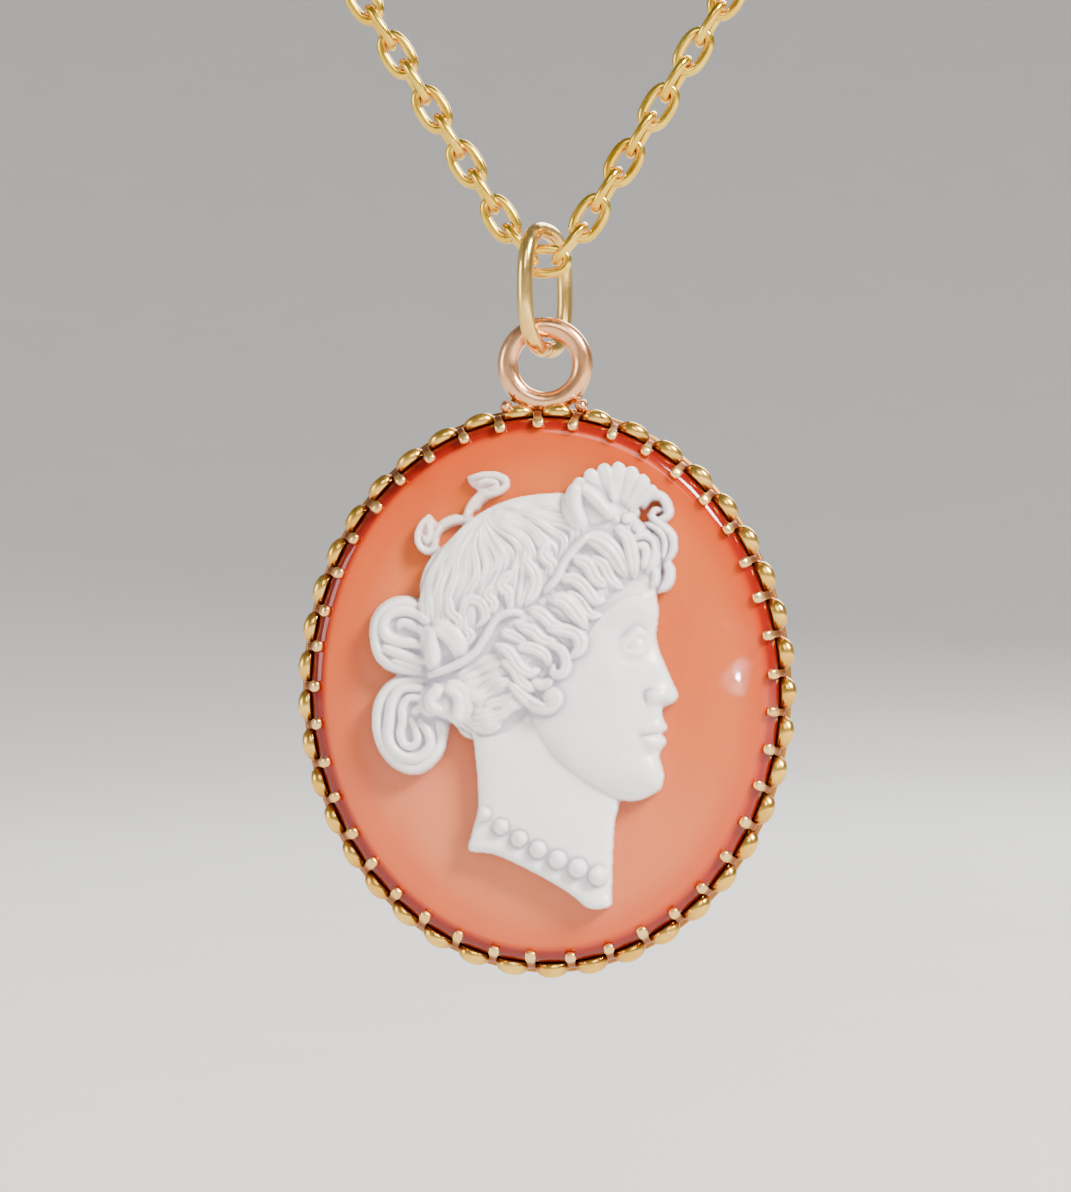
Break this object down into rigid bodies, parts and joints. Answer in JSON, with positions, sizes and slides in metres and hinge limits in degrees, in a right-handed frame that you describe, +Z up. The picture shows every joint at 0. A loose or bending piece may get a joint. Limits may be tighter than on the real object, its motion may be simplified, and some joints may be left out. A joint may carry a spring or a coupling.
{
  "type": "cameo pendant on a cable chain",
  "caption": "Oval hardstone cameo with a raised bust, in a scalloped claw setting, hung by a jump ring on a fine cable chain loop.",
  "frame": {"origin": "top of the chain loop, on the chain's middle line, where the neck carries it", "axes": "+Z up along the hanging loop, carved face looks along -Y, +X to the right seen from the front"},
  "size_m": [0.1104, 0.0054, 0.19],
  "materials": {
    "carnelian": "polished",
    "white_layer": "soft polish",
    "rose_gold": "polished, worn",
    "ring_gold": "polished",
    "chain_gold": "polished"
  },
  "bodies": {
    "chain": {"chain_front": "chain_gold", "chain_back": "chain_gold", "clasp": "chain_gold"},
    "ring": {"jump_ring": "ring_gold"},
    "pendant": {"cameo_ground": "carnelian", "cameo_relief": "white_layer", "claw_setting": "rose_gold"}
  },
  "joints": [
    {"name": "ring_swing", "type": "hinge", "parent": "chain", "child": "ring", "pos_m": [0, 0, -0.15592], "axis": [1, 0, 0], "range_deg": [-45, 45]},
    {"name": "pendant_swing", "type": "hinge", "parent": "ring", "child": "pendant", "pos_m": [0, 0, -0.1588], "axis": [1, 0, 0], "range_deg": [-75, 75]}
  ]
}
